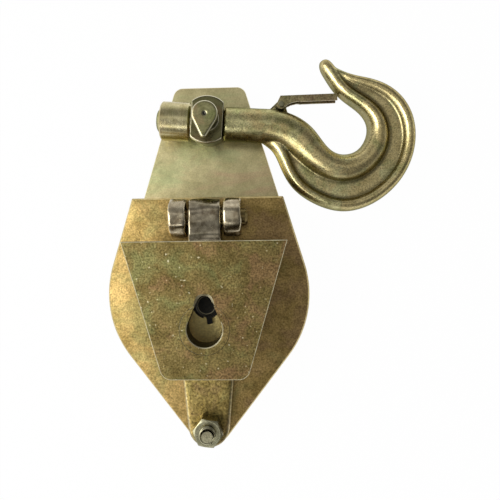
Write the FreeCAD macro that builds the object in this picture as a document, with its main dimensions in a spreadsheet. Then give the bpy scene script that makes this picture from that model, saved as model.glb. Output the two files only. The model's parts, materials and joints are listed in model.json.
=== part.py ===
import FreeCAD, Part
import math
import os
import Sketcher
from FreeCAD import Vector

# Single sheave pulley block with a swivel hook and a side door that folds open.
# Millimetres. The block lies on its back: +Z points out of the front cheek,
# +Y runs along the block from the sheave towards the crosshead, and the origin
# is on the sheave's axis, in the outer face of the rear strap.

os.makedirs("parts", exist_ok=True)
doc = FreeCAD.newDocument("PulleyBlock")
sheet = doc.addObject("Spreadsheet::Sheet", "Sizes")


class Size:
    """A length that knows its value and the sheet formula that it comes from."""

    def __init__(self, value, text):
        self.value = value
        self.text = text

    def __add__(self, other):
        other = as_size(other)
        return Size(self.value + other.value, f"({self.text} + {other.text})")

    def __sub__(self, other):
        other = as_size(other)
        return Size(self.value - other.value, f"({self.text} - {other.text})")

    def __mul__(self, other):
        other = as_size(other)
        return Size(self.value * other.value, f"({self.text} * {other.text})")

    def __truediv__(self, other):
        other = as_size(other)
        return Size(self.value / other.value, f"({self.text} / {other.text})")

    def __neg__(self):
        return Size(-self.value, f"(-{self.text})")

    __radd__ = __add__
    __rmul__ = __mul__

    def __rsub__(self, other):
        return as_size(other) - self

    def __rtruediv__(self, other):
        return as_size(other) / self


def as_size(number):
    return number if isinstance(number, Size) else Size(float(number), repr(float(number)))


def root(size):
    return Size(math.sqrt(size.value), f"sqrt({size.text})")


def size(name, value):
    """Writes one driving dimension into the sheet and returns it."""
    size.row = getattr(size, "row", 0) + 1
    cell = f"B{size.row}"
    sheet.set(f"A{size.row}", name.replace("_", " "))
    sheet.set(cell, str(value))
    sheet.setAlias(cell, name)
    return Size(float(value), f"Sizes.{name}")


# Levels, from the rear strap's outer face forwards
strap_thickness = size("strap_thickness", 10)
cheek_thickness = size("cheek_thickness", 5)
cheek_gap = size("cheek_gap", 28.6)
running_gap = size("running_gap", 0.3)
pin_clearance = size("pin_clearance", 0.05)
edge_break = size("edge_break", 0.8)

# Outline of the cheeks, about the sheave's axis
cheek_radius = size("cheek_radius", 64.4)
cheek_rise = size("cheek_rise", 5)
flank_slope = size("flank_slope", 0.3009)
front_cheek_top = size("front_cheek_top", 66.5)
rear_cheek_margin = size("rear_cheek_margin", 28.8)
cheek_corner = size("cheek_corner", 7)
bottom_bolt_drop = size("bottom_bolt_drop", 75.6)
cheek_nose_radius = size("cheek_nose_radius", 15)

# Straps
strap_half_width = size("strap_half_width", 22)
strap_shoulder = size("strap_shoulder", 11)
strap_nose_radius = size("strap_nose_radius", 12.9)
strap_edge_round = size("strap_edge_round", 1.6)
strap_end_gap = size("strap_end_gap", 4.8)

# Hinge of the door
hinge_along = size("hinge_along", 53.4)
hinge_height = size("hinge_height", 12.2)
lug_radius = size("lug_radius", 12)
lug_edge_round = size("lug_edge_round", 1.4)
lug_inner_edge = size("lug_inner_edge", 11.1)
door_lug_half_width = size("door_lug_half_width", 9.7)
door_lug_radius = size("door_lug_radius", 11.8)
door_lug_flat = size("door_lug_flat", 10.6)
door_lug_foot = size("door_lug_foot", 30)
hinge_pin_radius = size("hinge_pin_radius", 5.25)
hinge_pin_end = size("hinge_pin_end", 3.8)
hinge_pin_chamfer = size("hinge_pin_chamfer", 1.4)

# Door and its bush
door_corner = size("door_corner", 7)
door_start_gap = size("door_start_gap", 0.6)
bush_radius = size("bush_radius", 14.7)
bush_height = size("bush_height", 12.5)
keyhole_radius = size("keyhole_radius", 10.4)
keyhole_tip = size("keyhole_tip", 20.2)
keyhole_tip_radius = size("keyhole_tip_radius", 4.2)

# Crosshead
crosshead_along = size("crosshead_along", 118.2)
rest_turn = size("rest_turn", 4.3)
barrel_radius = size("barrel_radius", 16)
barrel_foot_radius = size("barrel_foot_radius", 13.6)
barrel_rim = size("barrel_rim", 6.5)
barrel_flat = size("barrel_flat", 10.5)
neck_radius = size("neck_radius", 7.6)
key_radius = size("key_radius", 8.3)
key_tip = size("key_tip", 14.8)
key_tip_radius = size("key_tip_radius", 2.2)
key_thickness = size("key_thickness", 3.5)
centre_hole_radius = size("centre_hole_radius", 1.6)
trunnion_radius = size("trunnion_radius", 10)
trunnion_end_radius = size("trunnion_end_radius", 8)
keeper_radius = size("keeper_radius", 14.2)
keeper_thickness = size("keeper_thickness", 3.1)
keeper_recess = size("keeper_recess", 4.4)

# Hook, with its shank along X and its bowl in the XY plane
shank_bore_radius = size("shank_bore_radius", 8)
shank_radius = size("shank_radius", 11.7)
collar_start = size("collar_start", 11.8)
collar_length = size("collar_length", 20.3)
collar_radius = size("collar_radius", 13.3)
shank_end_radius = size("shank_end_radius", 9.2)
shank_end_height = size("shank_end_height", 3.2)
web_thickness = size("web_thickness", 9)
neck_start = size("neck_start", 40.5)
bowl_reach = size("bowl_reach", 51.8)

# Latch, from its pin: heights of its top edge at both ends, ear, bar and spring
latch_pin_along = size("latch_pin_along", 48.6)
latch_pin_height = size("latch_pin_height", 14.6)
latch_pin_radius = size("latch_pin_radius", 1.5)
latch_boss_radius = size("latch_boss_radius", 3.7)
latch_boss_width = size("latch_boss_width", 3.2)
latch_boss_foot = size("latch_boss_foot", 9.4)
latch_width = size("latch_width", 9)
latch_wall = size("latch_wall", 1.5)
latch_heel_height = size("latch_heel_height", 5.8)
latch_tip_height = size("latch_tip_height", 9.2)
latch_bar_depth = size("latch_bar_depth", 2.7)
latch_ear_radius = size("latch_ear_radius", 3.1)
latch_ear_sweep = size("latch_ear_sweep", 15)
spring_coil_radius = size("spring_coil_radius", 2.6)
spring_wire_radius = size("spring_wire_radius", 0.35)
spring_turns = 3

# Sheave, bush and axle
sheave_radius = size("sheave_radius", 56)
sheave_width = size("sheave_width", 24.6)
groove_radius = size("groove_radius", 7)
groove_root_radius = size("groove_root_radius", 44.5)
groove_half_mouth = size("groove_half_mouth", 9.6)
rim_inner_radius = size("rim_inner_radius", 36)
web_of_sheave = size("web_of_sheave", 10)
hub_radius = size("hub_radius", 20)
hub_washer = size("hub_washer", 1)
hub_play = size("hub_play", 0.2)
hub_bush_radius = size("hub_bush_radius", 13)
axle_radius = size("axle_radius", 10)
axle_head_radius = size("axle_head_radius", 13)
axle_head_depth = size("axle_head_depth", 3)
axle_tail_radius = size("axle_tail_radius", 7)
axle_tail_height = size("axle_tail_height", 3.6)
ring_thickness = size("ring_thickness", 1.5)
ring_depth = size("ring_depth", 0.8)
ring_outer_radius = size("ring_outer_radius", 8.6)
ring_tab = size("ring_tab", 3.3)
ring_tab_reach = size("ring_tab_reach", 12)
ring_turn = size("ring_turn", 9)

# Bottom bolt
bolt_radius = size("bolt_radius", 5)
bolt_head_radius = size("bolt_head_radius", 9.2)
bolt_end = size("bolt_end", 4.6)
nut_half_width = size("nut_half_width", 8)
nut_height = size("nut_height", 8.4)
spacer_radius = size("spacer_radius", 9)

rear_inside = strap_thickness + cheek_thickness
front_inside = rear_inside + cheek_gap
front_face = front_inside + cheek_thickness
front_top = front_face + strap_thickness
middle = rear_inside + cheek_gap / 2
hinge_level = front_face + hinge_height
rear_cheek_top = crosshead_along + rear_cheek_margin
latch_length = neck_start + bowl_reach * 0.867 - latch_pin_along
sheet.recompute()


def origin_plane(body, role):
    return [part for part in body.Origin.OriginFeatures if part.Role == role][0]


def new_body(name):
    body = doc.addObject("PartDesign::Body", name)
    body.Label = name
    return body


def place(body, x=0, y=0, z=0, axis=None, angle=0):
    """Puts a body at bound coordinates, turned by a bound angle about an axis."""
    x, y, z, angle = as_size(x), as_size(y), as_size(z), as_size(angle)
    turn = FreeCAD.Rotation(axis or Vector(0, 0, 1), angle.value)
    body.Placement = FreeCAD.Placement(Vector(x.value, y.value, z.value), turn)
    for name, amount in (("x", x), ("y", y), ("z", z)):
        body.setExpression(f"Placement.Base.{name}", amount.text)
    if axis is not None:
        body.setExpression("Placement.Rotation.Angle", angle.text)


def new_sketch(body, plane, level=0):
    """Empty sketch on one of the body's own planes, lifted along its normal."""
    sketch = body.newObject("Sketcher::SketchObject", f"{body.Name}_sketch")
    sketch.AttachmentSupport = [(origin_plane(body, plane), "")]
    sketch.MapMode = "FlatFace"
    level = as_size(level)
    if level.text != "0.0":
        sketch.AttachmentOffset = FreeCAD.Placement(Vector(0, 0, level.value), FreeCAD.Rotation())
        sketch.setExpression("AttachmentOffset.Base.z", level.text)
    return sketch


def pin_down(sketch, geometry, point, x, y):
    """Fixes one point of a sketch at bound coordinates from the origin."""
    for kind, axis, amount in (("DistanceX", -2, x), ("DistanceY", -1, y)):
        if amount.value == 0:
            sketch.addConstraint(Sketcher.Constraint("PointOnObject", geometry, point, axis))
        else:
            limit = Sketcher.Constraint(kind, -1, 1, geometry, point, amount.value)
            row = sketch.addConstraint(limit)
            sketch.setExpression(f"Constraints[{row}]", amount.text)


def circle(sketch, x, y, radius):
    x, y, radius = as_size(x), as_size(y), as_size(radius)
    centre = Vector(x.value, y.value, 0)
    ring = sketch.addGeometry(Part.Circle(centre, Vector(0, 0, 1), radius.value))
    pin_down(sketch, ring, 3, x, y)
    row = sketch.addConstraint(Sketcher.Constraint("Radius", ring, radius.value))
    sketch.setExpression(f"Constraints[{row}]", radius.text)


def arc_between(start, end, radius, left):
    """Short arc from start to end that turns left or right."""
    chord = end - start
    half = chord.Length / 2
    reach = math.sqrt(max(radius * radius - half * half, 0))
    side = Vector(-chord.y, chord.x, 0).normalize() * (reach if left else -reach)
    centre = (start + end) * 0.5 + side
    if left:
        first, last = start - centre, end - centre
    else:
        first, last = end - centre, start - centre
    ring = Part.Circle(centre, Vector(0, 0, 1), radius)
    return Part.ArcOfCircle(ring, math.atan2(first.y, first.x), math.atan2(last.y, last.x))


def outline(sketch, corners):
    """Closed outline. A corner is (x, y), or (x, y, radius, side) where an arc leads to it."""
    corners = [tuple(as_size(c) if n < 3 else c for n, c in enumerate(corner)) for corner in corners]
    points = [Vector(corner[0].value, corner[1].value, 0) for corner in corners]
    edges = []
    for n, corner in enumerate(corners):
        start, end = points[n - 1], points[n]
        if len(corner) == 2:
            edge = sketch.addGeometry(Part.LineSegment(start, end))
            edges.append((edge, 1, 2))
            continue
        left = corner[3] == "left"
        edge = sketch.addGeometry(arc_between(start, end, corner[2].value, left))
        row = sketch.addConstraint(Sketcher.Constraint("Radius", edge, corner[2].value))
        sketch.setExpression(f"Constraints[{row}]", corner[2].text)
        edges.append((edge, 1, 2) if left else (edge, 2, 1))
    for n, (edge, first, last) in enumerate(edges):
        before = edges[n - 1]
        sketch.addConstraint(Sketcher.Constraint("Coincident", before[0], before[2], edge, first))
        pin_down(sketch, edge, last, corners[n][0], corners[n][1])


def pad(body, sketch, length, both_sides=False, downwards=False):
    feature = body.newObject("PartDesign::Pad", f"{body.Name}_pad")
    feature.Profile = sketch
    feature.SideType = "Symmetric" if both_sides else "One side"
    feature.Reversed = downwards
    feature.setExpression("Length", as_size(length).text)
    doc.recompute()
    return feature


def pocket(body, sketch, length, both_sides=False, upwards=True):
    """Cuts a sketch out of the body and makes sure that it took something away."""
    before = body.Tip.Shape.Volume
    feature = body.newObject("PartDesign::Pocket", f"{body.Name}_pocket")
    feature.Profile = sketch
    feature.SideType = "Symmetric" if both_sides else "One side"
    feature.Reversed = upwards
    feature.setExpression("Length", as_size(length).text)
    doc.recompute()
    assert feature.Shape.Volume < before - 0.01, f"{body.Label}: a pocket cuts nothing"
    return feature


def round_edges(body, radius, chosen, chamfer=False):
    """Rounds or chamfers the edges of the body's tip that a test picks."""
    base = body.Tip
    names = [f"Edge{n}" for n, edge in enumerate(base.Shape.Edges, 1) if chosen(edge)]
    kind = "Chamfer" if chamfer else "Fillet"
    feature = body.newObject(f"PartDesign::{kind}", f"{body.Name}_{kind.lower()}")
    feature.Base = (base, names)
    feature.setExpression("Size" if chamfer else "Radius", as_size(radius).text)
    doc.recompute()
    return feature


def groove(body, sketch, axis):
    """Cuts a sketch turned about an axis out of the body, and makes sure that it cuts."""
    before = body.Tip.Shape.Volume
    feature = body.newObject("PartDesign::Groove", f"{body.Name}_groove")
    feature.Profile = sketch
    feature.ReferenceAxis = (sketch, [axis])
    feature.Angle = 360
    doc.recompute()
    assert feature.Shape.Volume < before - 0.01, f"{body.Label}: a groove cuts nothing"


def revolve(body, sketch, axis):
    feature = body.newObject("PartDesign::Revolution", f"{body.Name}_turn")
    feature.Profile = sketch
    feature.ReferenceAxis = (sketch, [axis])
    feature.Angle = 360
    doc.recompute()


def turned(name, profile):
    """Body turned about its own Z axis from a profile of (radius, height) corners."""
    body = new_body(name)
    sketch = new_sketch(body, "XZ_Plane")
    outline(sketch, profile)
    revolve(body, sketch, "V_Axis")
    return body


def along_x(body, x=0, y=0, z=0):
    place(body, x, y, z, Vector(0, 1, 0), 90)


def bush_profile(inner, outer, low, high, chamfer=0.4):
    """Profile of a plain ring with its two outer edges chamfered."""
    low, high = as_size(low), as_size(high)
    return [
        (inner, low),
        (outer - chamfer, low),
        (outer, low + chamfer),
        (outer, high - chamfer),
        (outer - chamfer, high),
        (inner, high),
    ]


# Cheek outline: both flanks are tangent to the big arc and, below, to the nose
flank_cos = 1 / root(1 + flank_slope * flank_slope)
flank_sin = flank_slope * flank_cos
nose_sin = (cheek_radius - cheek_nose_radius) / (cheek_rise + bottom_bolt_drop)
nose_cos = root(1 - nose_sin * nose_sin)


def flank_half_width(height):
    """Half width of the straight upper flank at a height above the sheave's axis."""
    return (cheek_radius - (height - cheek_rise) * flank_sin) / flank_cos


def cheek_outline(top, corner):
    side = flank_half_width(top)
    return [
        (-cheek_nose_radius * nose_cos, -bottom_bolt_drop - cheek_nose_radius * nose_sin),
        (0, -bottom_bolt_drop - cheek_nose_radius, cheek_nose_radius, "left"),
        (cheek_nose_radius * nose_cos, -bottom_bolt_drop - cheek_nose_radius * nose_sin,
         cheek_nose_radius, "left"),
        (cheek_radius * nose_cos, cheek_rise - cheek_radius * nose_sin),
        (cheek_radius * flank_cos, cheek_rise + cheek_radius * flank_sin, cheek_radius, "left"),
        *top_corners(side, top, corner),
        (-cheek_radius * flank_cos, cheek_rise + cheek_radius * flank_sin),
        (-cheek_radius * nose_cos, cheek_rise - cheek_radius * nose_sin, cheek_radius, "left"),
    ]


def top_corners(side, top, corner):
    """The flat top edge with a rounded corner at each end of the leaning flanks."""
    reach = corner * (1 - flank_sin) / flank_cos
    return [
        (side + reach * flank_sin, top - reach * flank_cos),
        (side - reach, top, corner, "left"),
        (-side + reach, top),
        (-side - reach * flank_sin, top - reach * flank_cos, corner, "left"),
    ]


def break_cheek_edges(body, low, high):
    """Takes the sharpness off the cheek's outline on both faces."""
    levels = (low.value, high.value)

    def on_a_face(edge):
        box = edge.BoundBox
        return box.ZLength < 0.01 and min(abs(box.ZMin - level) for level in levels) < 0.01

    round_edges(body, edge_break / 2, on_a_face, chamfer=True)


def make_cheek(name, level, top, corner, holes):
    body = new_body(name)
    sketch = new_sketch(body, "XY_Plane", level)
    outline(sketch, cheek_outline(top, corner))
    for along, radius in holes:
        circle(sketch, 0, along, radius)
    pad(body, sketch, cheek_thickness)
    break_cheek_edges(body, level, level + cheek_thickness)
    return body


bolt_hole = bolt_radius + 6 * pin_clearance
axle_hole = axle_radius + pin_clearance
trunnion_hole = trunnion_radius + pin_clearance

make_cheek("rear_cheek", strap_thickness, rear_cheek_top, cheek_corner,
           [(0, axle_hole), (-bottom_bolt_drop, bolt_hole), (crosshead_along, trunnion_hole)])
make_cheek("front_cheek", front_inside, front_cheek_top, edge_break,
           [(0, axle_hole), (-bottom_bolt_drop, bolt_hole)])


def strap_outline(top, top_corner):
    """Strap from its round end at the bottom bolt, widening to parallel sides."""
    rise = bottom_bolt_drop + strap_shoulder
    lean = (strap_half_width - strap_nose_radius) / rise
    reach = root(1 - lean * lean)
    nose_x = strap_nose_radius * reach
    nose_y = -bottom_bolt_drop - strap_nose_radius * lean
    return [
        (0, -bottom_bolt_drop - strap_nose_radius, strap_nose_radius, "left"),
        (nose_x, nose_y, strap_nose_radius, "left"),
        (strap_half_width, strap_shoulder),
        (strap_half_width, top - top_corner),
        (strap_half_width - top_corner, top, top_corner, "left"),
        (-strap_half_width + top_corner, top),
        (-strap_half_width, top - top_corner, top_corner, "left"),
        (-strap_half_width, strap_shoulder),
        (-nose_x, nose_y),
    ]


def outline_edges(level):
    """Picks the long outside edges of a strap that lie at one level."""
    def on_the_outline(edge):
        box = edge.BoundBox
        flat = box.ZLength < 0.01 and abs(box.ZMin - level.value) < 0.01
        return flat and not edge.isClosed()

    return on_the_outline


def make_front_strap():
    body = new_body("front_strap")
    sketch = new_sketch(body, "XY_Plane", front_face)
    top = hinge_along - lug_radius - strap_end_gap
    outline(sketch, strap_outline(top, edge_break))
    circle(sketch, 0, 0, axle_tail_radius + pin_clearance)
    circle(sketch, 0, -bottom_bolt_drop, bolt_hole)
    pad(body, sketch, strap_thickness)
    round_edges(body, strap_edge_round, outline_edges(front_top))


def make_rear_strap():
    """The rear strap runs on to the crosshead and holds the axle's and bolt's flush heads."""
    body = new_body("rear_strap")
    sketch = new_sketch(body, "XY_Plane")
    outline(sketch, strap_outline(crosshead_along + strap_half_width, strap_half_width * 0.7))
    circle(sketch, 0, 0, axle_hole)
    circle(sketch, 0, -bottom_bolt_drop, bolt_hole)
    circle(sketch, 0, crosshead_along, trunnion_hole)
    pad(body, sketch, strap_thickness)
    round_edges(body, strap_edge_round, outline_edges(as_size(0)))
    recess = new_sketch(body, "XY_Plane")
    circle(recess, 0, crosshead_along, keeper_radius + running_gap)
    pocket(body, recess, keeper_recess)
    for along, hole, head, depth in (
            (as_size(0), axle_hole, axle_head_radius, axle_head_depth),
            (-bottom_bolt_drop, bolt_hole, bolt_head_radius, bolt_head_radius - bolt_radius)):
        countersink(body, along, hole, head + pin_clearance, depth)


def countersink(body, along, hole, head, depth):
    """Turned countersink in the rear face, about an axis at a point along the strap."""
    sketch = new_sketch(body, "YZ_Plane")
    outline(sketch, [(along, 0), (along + head, 0), (along + hole, depth), (along, depth)])
    groove(body, sketch, "Edge1")


make_front_strap()
make_rear_strap()


def make_hinge_lug(name, side):
    """Arch-shaped lug that stands on the front cheek and carries one end of the pin."""
    body = new_body(name)
    sketch = new_sketch(body, "YZ_Plane")
    width = strap_half_width - lug_inner_edge
    outline(sketch, [
        (-lug_radius, -hinge_height),
        (lug_radius, -hinge_height),
        (lug_radius, 0),
        (0, lug_radius, lug_radius, "left"),
        (-lug_radius, 0, lug_radius, "left"),
    ])
    circle(sketch, 0, 0, hinge_pin_radius + pin_clearance)
    pad(body, sketch, width, both_sides=True)
    half = width.value / 2

    def arch(edge):
        box = edge.BoundBox
        at_end = box.XLength < 0.01 and abs(abs(box.XMin) - half) < 0.01
        return at_end and box.ZMax > 0.1 and not edge.isClosed()

    round_edges(body, lug_edge_round, arch)
    place(body, side * (lug_inner_edge + width / 2), hinge_along, hinge_level)


make_hinge_lug("hinge_lug_left", -1)
make_hinge_lug("hinge_lug_right", 1)

hinge_pin = turned("hinge_pin", [
    (0, -strap_half_width),
    (hinge_pin_radius - 0.6, -strap_half_width),
    (hinge_pin_radius, -strap_half_width + 0.6),
    (hinge_pin_radius, strap_half_width + hinge_pin_end - hinge_pin_chamfer),
    (hinge_pin_radius - hinge_pin_chamfer, strap_half_width + hinge_pin_end),
    (0, strap_half_width + hinge_pin_end),
])
along_x(hinge_pin, 0, hinge_along, hinge_level)


def fold_open(body):
    """Turns a piece of the door over from its shut place to lie folded on the front cheek."""
    place(body, 0, hinge_along * 2, hinge_level * 2, Vector(1, 0, 0), 180)


def teardrop(sketch, along, radius, tip, tip_radius):
    """Round keyhole that narrows to a small round tip towards the hinge."""
    reach = tip - tip_radius
    lean = (radius - tip_radius) / reach
    square = root(1 - lean * lean)
    outline(sketch, [
        (0, along - tip, tip_radius, "left"),
        (tip_radius * square, along - reach - tip_radius * lean, tip_radius, "left"),
        (radius * square, along - radius * lean),
        (radius, along, radius, "left"),
        (0, along + radius, radius, "left"),
        (-radius, along, radius, "left"),
        (-radius * square, along - radius * lean, radius, "left"),
        (-tip_radius * square, along - reach - tip_radius * lean),
    ])


def make_door_plate():
    body = new_body("door_plate")
    sketch = new_sketch(body, "XY_Plane", front_inside)
    start = front_cheek_top + door_start_gap
    side = flank_half_width(start)
    outline(sketch, [(-side, start), (side, start),
                     *top_corners(flank_half_width(rear_cheek_top), rear_cheek_top, door_corner)])
    circle(sketch, 0, crosshead_along, bush_radius + pin_clearance)
    pad(body, sketch, cheek_thickness)
    slot = new_sketch(body, "XY_Plane", front_inside)
    teardrop(slot, crosshead_along, keyhole_radius, keyhole_tip, keyhole_tip_radius)
    pocket(body, slot, cheek_thickness)
    levels = (front_inside.value, front_face.value)

    def outer_edge(edge):
        box = edge.BoundBox
        flat = box.ZLength < 0.01 and min(abs(box.ZMin - level) for level in levels) < 0.01
        middle_of = edge.valueAt((edge.FirstParameter + edge.LastParameter) / 2)
        away = math.hypot(middle_of.x, middle_of.y - crosshead_along.value)
        return flat and away > keyhole_tip.value

    round_edges(body, edge_break / 2, outer_edge, chamfer=True)
    fold_open(body)


def make_door_bush():
    """Thick ring let into the door, with the keyhole cut through it."""
    body = new_body("door_bush")
    sketch = new_sketch(body, "XY_Plane", front_inside)
    circle(sketch, 0, crosshead_along, bush_radius)
    pad(body, sketch, bush_height)
    slot = new_sketch(body, "XY_Plane", front_inside)
    teardrop(slot, crosshead_along, keyhole_radius, keyhole_tip, keyhole_tip_radius)
    pocket(body, slot, bush_height)
    fold_open(body)


def make_door_lug():
    """Middle knuckle of the hinge, with a foot that is welded to the door's outer face."""
    body = new_body("door_lug")
    sketch = new_sketch(body, "YZ_Plane")
    flat_end = root(door_lug_radius * door_lug_radius - door_lug_flat * door_lug_flat)
    seat = front_cheek_top + door_start_gap - hinge_along
    slant = (door_lug_radius * 4) / 5
    rise = (door_lug_radius * 3) / 5
    outline(sketch, [
        (seat - door_start_gap * 6, -door_lug_flat),
        (seat - door_start_gap, -hinge_height),
        (door_lug_foot, -hinge_height),
        (door_lug_foot, -hinge_height + door_start_gap * 6),
        (rise, slant),
        (0, door_lug_radius, door_lug_radius, "left"),
        (-door_lug_radius, 0, door_lug_radius, "left"),
        (-flat_end, -door_lug_flat, door_lug_radius, "left"),
    ])
    circle(sketch, 0, 0, hinge_pin_radius + pin_clearance)
    pad(body, sketch, door_lug_half_width * 2, both_sides=True)
    round_edges(body, edge_break / 2, side_edges(door_lug_half_width), chamfer=True)
    place(body, 0, hinge_along, hinge_level, Vector(1, 0, 0), 180)


def side_edges(half_width):
    """Picks the open edges round both side faces of a lug."""
    def on_a_side(edge):
        box = edge.BoundBox
        at_side = box.XLength < 0.01 and abs(abs(box.XMin) - half_width.value) < 0.01
        return at_side and not edge.isClosed()

    return on_a_side


make_door_plate()
make_door_bush()
make_door_lug()


def beside_hook(body, level=0):
    """Places a piece in the crosshead's own frame, at its angle of rest."""
    place(body, 0, crosshead_along, level, Vector(0, 0, 1), -rest_turn)


def at_level(*levels):
    """Picks edges that lie flat at one of the given heights."""
    heights = [as_size(level).value for level in levels]

    def flat_edge(edge):
        box = edge.BoundBox
        return box.ZLength < 0.01 and min(abs(box.ZMin - height) for height in heights) < 0.01

    return flat_edge


def make_crosshead():
    """Swivel block: barrel with two flats, cross bore, trunnion behind, keyed head in front."""
    shoulder = front_inside - running_gap
    foot = rear_inside + running_gap
    rim = shoulder - barrel_rim
    body = turned("crosshead", [
        (0, foot),
        (barrel_foot_radius - 1, foot),
        (barrel_foot_radius, foot + 1),
        (barrel_foot_radius + 0.6, rim - 3),
        (barrel_radius, rim),
        (barrel_radius, shoulder - 0.8),
        (barrel_radius - 0.8, shoulder),
        (0, shoulder),
    ])
    flats = new_sketch(body, "XY_Plane", rear_inside)
    for side in (-1, 1):
        outline(flats, [
            (side * barrel_flat, -barrel_radius * 1.1),
            (side * barrel_radius * 1.1, -barrel_radius * 1.1),
            (side * barrel_radius * 1.1, barrel_radius * 1.1),
            (side * barrel_flat, barrel_radius * 1.1),
        ])
    pocket(body, flats, cheek_gap)
    bore = new_sketch(body, "YZ_Plane")
    circle(bore, 0, middle, shank_bore_radius + pin_clearance)
    pocket(body, bore, barrel_flat * 3, both_sides=True)
    step = keeper_recess - running_gap
    for top, low, radius in ((foot, step, trunnion_radius), (step, 0.6, trunnion_end_radius)):
        trunnion = new_sketch(body, "XY_Plane", low)
        circle(trunnion, 0, 0, radius)
        pad(body, trunnion, top - low)
    neck = new_sketch(body, "XY_Plane", shoulder)
    circle(neck, 0, 0, neck_radius)
    key_level = front_inside + bush_height + running_gap
    pad(body, neck, key_level - shoulder)
    key = new_sketch(body, "XY_Plane", key_level)
    teardrop(key, as_size(0), key_radius, key_tip, key_tip_radius)
    pad(body, key, key_thickness)
    face = key_level + key_thickness
    round_edges(body, edge_break, at_level(face), chamfer=True)
    centre = new_sketch(body, "XZ_Plane")
    outline(centre, [(0, face - centre_hole_radius), (centre_hole_radius, face), (0, face)])
    groove(body, centre, "V_Axis")
    beside_hook(body)


make_crosshead()
keeper_level = keeper_recess - running_gap - keeper_thickness
trunnion_keeper = turned("trunnion_keeper", bush_profile(
    trunnion_end_radius, keeper_radius, keeper_level, keeper_level + keeper_thickness))
beside_hook(trunnion_keeper)


def along_hook(rows):
    """Puts places that are given in parts of the bowl's reach along the shank's axis."""
    return [(neck_start + bowl_reach * along, *rest) for along, *rest in rows]


# Hook, drawn in the plane of its bowl with the shank along X. Each section is
# an ellipse: centre along (in bowl reaches from the neck's start) and across,
# half width, half thickness.
rib_sections = along_hook([
    (-0.1062, 0, shank_radius, shank_radius),
    (0, 0, 11.8, shank_radius),
    (0.1641, -1.4, 12.2, shank_radius),
    (0.3726, -6.2, 12.2, shank_radius),
    (0.5637, -15.0, 11.2, shank_radius),
    (0.7529, -22.8, 10.0, 11.5),
    (0.9884, -26.2, 9.8, 11.2),
    (1.2278, -22.0, 8.8, 11.0),
    (1.3784, -13.0, 8.0, 10.8),
    (1.4344, -1.7, 7.2, 10.4),
    (1.3861, 8.6, 6.2, 9.8),
    (1.2452, 16.8, 5.4, 9.0),
    (1.0598, 23.0, 5.0, 8.2),
    (0.8958, 30.0, 4.9, 7.4),
    (0.7819, 38.0, 5.0, 6.6),
    (0.7124, 43.2, 4.5, 5.6),
    (0.6873, 45.5, 3.5, 4.4),
    (0.6737, 46.9, 1.8, 2.3),
])
bead_sections = along_hook([
    (-0.1062, -6.0, 3.5, 4.5),
    (0, -8.5, 4.4, 5.4),
    (0.11, -11.6, 5.0, 6.4),
    (0.195, -17.0, 4.7, 7.0),
    (0.2645, -24.4, 4.4, 7.6),
    (0.4073, -36.4, 4.4, 8.0),
    (0.6757, -46.1, 4.5, 8.2),
    (1.0347, -50.3, 4.6, 8.4),
    (1.4556, -41.4, 4.7, 8.6),
    (1.7317, -23.6, 4.8, 8.8),
    (1.8166, -3.6, 5.0, 8.8),
    (1.7452, 13.0, 5.2, 8.6),
    (1.5502, 25.2, 5.0, 8.2),
    (1.2954, 31.4, 4.4, 7.6),
    (1.0483, 34.6, 3.5, 6.6),
    (0.8707, 38.6, 2.7, 5.2),
    (0.7587, 42.4, 1.5, 3.6),
])


def heading_at(sections, n):
    """Direction of the centre line at one section, from its neighbours."""
    before, after = sections[max(n - 1, 0)], sections[min(n + 1, len(sections) - 1)]
    return math.degrees(math.atan2(after[1] - before[1], after[0].value - before[0].value))


def upright_sketch(body, heading, along, across):
    """Sketch through a point of the hook's plane, square to a heading in that plane."""
    sketch = new_sketch(body, "YZ_Plane")
    turn = FreeCAD.Rotation(Vector(0, 1, 0), heading)
    along, across = as_size(along), as_size(across)
    sketch.AttachmentOffset = FreeCAD.Placement(Vector(across.value, 0, along.value), turn)
    sketch.setExpression("AttachmentOffset.Base.x", across.text)
    sketch.setExpression("AttachmentOffset.Base.z", along.text)
    return sketch


def section(body, heading, along, across, half_width, half_thickness):
    """Elliptical section, square to the hook's centre line at one place."""
    sketch = upright_sketch(body, heading, along, across)
    wide, thick = as_size(half_width), as_size(half_thickness)
    flat = wide.value >= thick.value
    major, minor = (wide, thick) if flat else (thick, wide)
    ends = (Vector(major.value, 0, 0), Vector(0, minor.value, 0))
    if not flat:
        ends = (Vector(0, major.value, 0), Vector(-minor.value, 0, 0))
    if major.value - minor.value < 0.001:
        circle(sketch, 0, 0, major)
        return sketch
    curve = sketch.addGeometry(Part.Ellipse(*ends, Vector(0, 0, 0)))
    sketch.exposeInternalGeometry(curve)
    sketch.addConstraint(Sketcher.Constraint("Coincident", curve, 3, -1, 1))
    kind = "Horizontal" if flat else "Vertical"
    sketch.addConstraint(Sketcher.Constraint(kind, curve + 1))
    for line, half in ((curve + 1, major), (curve + 2, minor)):
        row = sketch.addConstraint(Sketcher.Constraint("Distance", line, 2 * half.value))
        sketch.setExpression(f"Constraints[{row}]", (half * 2).text)
    return sketch


def loft(body, sections):
    sketches = [section(body, heading_at(sections, n), *values) for n, values in enumerate(sections)]
    doc.recompute()
    feature = body.newObject("PartDesign::AdditiveLoft", f"{body.Name}_loft")
    feature.Profile = sketches[0]
    feature.Sections = sketches[1:]
    feature.Ruled = False
    doc.recompute()
    return feature


web_edge = along_hook([
    (0.1448, -8.0),
    (0.2606, -25.4, 40.0, "left"),
    (0.6699, -46.0, 45.0, "left"),
    (1.805, -3.6, 43.0, "left"),
    (1.2954, 31.8, 36.0, "left"),
    (0.8398, 37.6, 90.0, "right"),
    (0.8958, 30.0),
    (1.0598, 23.0),
    (1.4344, -1.5, 30.0, "right"),
    (0.7471, -22.5, 24.0, "right"),
    (0.4151, -7.0, 40.0, "left"),
])


boss_level = -latch_width / 2 + latch_wall + 3 * pin_clearance


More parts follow.
